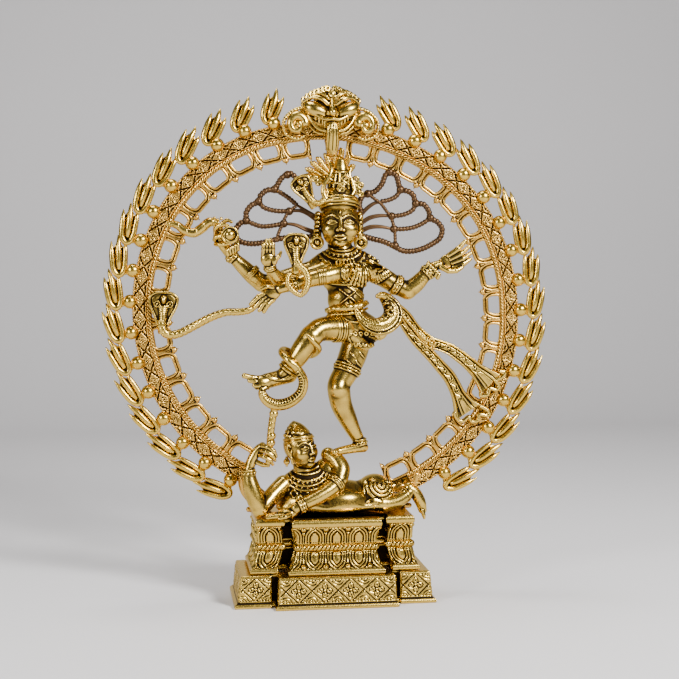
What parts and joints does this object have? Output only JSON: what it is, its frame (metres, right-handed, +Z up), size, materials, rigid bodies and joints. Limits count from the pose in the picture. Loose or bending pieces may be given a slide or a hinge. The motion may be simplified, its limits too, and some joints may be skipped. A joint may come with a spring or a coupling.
{
  "type": "nataraja statue",
  "caption": "Cast-brass dancing deity in an openwork flame ring, standing on a prone dwarf on a stepped lotus pedestal.",
  "frame": {"origin": "centre of the pedestal's foot, on the surface that the statue stands on", "axes": "+X the viewer's right, +Y away from the viewer, +Z up"},
  "size_m": [0.4065, 0.096, 0.4591],
  "materials": {
    "brass": "polished antique brass with dark patina in the recesses",
    "dark_brass": "dark brown patinated brass, little polished",
    "coppery_brass": "antique brass with a coppery brown patina",
    "bolt_steel": "plain steel, hidden"
  },
  "bodies": {
    "root": {"ankle_snake": "brass", "belt": "brass", "blessing_arm": "brass", "crossing_arm": "brass", "crown": "brass", "crown_cobra": "brass", "drum": "brass", "drum_arm": "brass", "drum_ribbon": "brass", "dwarf_body": "brass", "dwarf_bolt_chest": "bolt_steel", "dwarf_bolt_hips": "bolt_steel", "dwarf_far_leg": "brass", "dwarf_head": "brass", "dwarf_left_arm": "brass", "dwarf_near_leg": "brass", "dwarf_right_arm": "brass", "earring_left": "brass", "earring_right": "brass", "feather_crest": "brass", "flame_arm": "brass", "flames_left_1": "coppery_brass", "flames_left_2": "coppery_brass", "flames_left_3": "coppery_brass", "flames_left_4": "coppery_brass", "flames_right_1": "coppery_brass", "flames_right_2": "coppery_brass", "flames_right_3": "coppery_brass", "flames_right_4": "coppery_brass", "flying_sash": "brass", "hair_fan_left": "dark_brass", "hair_fan_right": "dark_brass", "head": "brass", "hip_cloth": "brass", "hip_cobra": "brass", "hips": "brass", "lion_mask": "brass", "lower_lotus": "brass", "mask_scroll_left": "brass", "mask_scroll_right": "brass", "plinth": "brass", "raised_leg": "brass", "ring_bolt_left": "bolt_steel", "ring_bolt_right": "bolt_steel", "ring_cobra": "brass", "ring_foot_left": "coppery_brass", "ring_foot_right": "coppery_brass", "ring_left_1": "coppery_brass", "ring_left_2": "coppery_brass", "ring_left_3": "coppery_brass", "ring_right_1": "coppery_brass", "ring_right_2": "coppery_brass", "ring_right_3": "coppery_brass", "ring_top": "coppery_brass", "rope_moulding": "coppery_brass", "standing_leg": "brass", "top_slab": "brass", "torso": "brass", "upper_lotus": "brass", "wrist_cobra": "brass"}
  },
  "joints": []
}
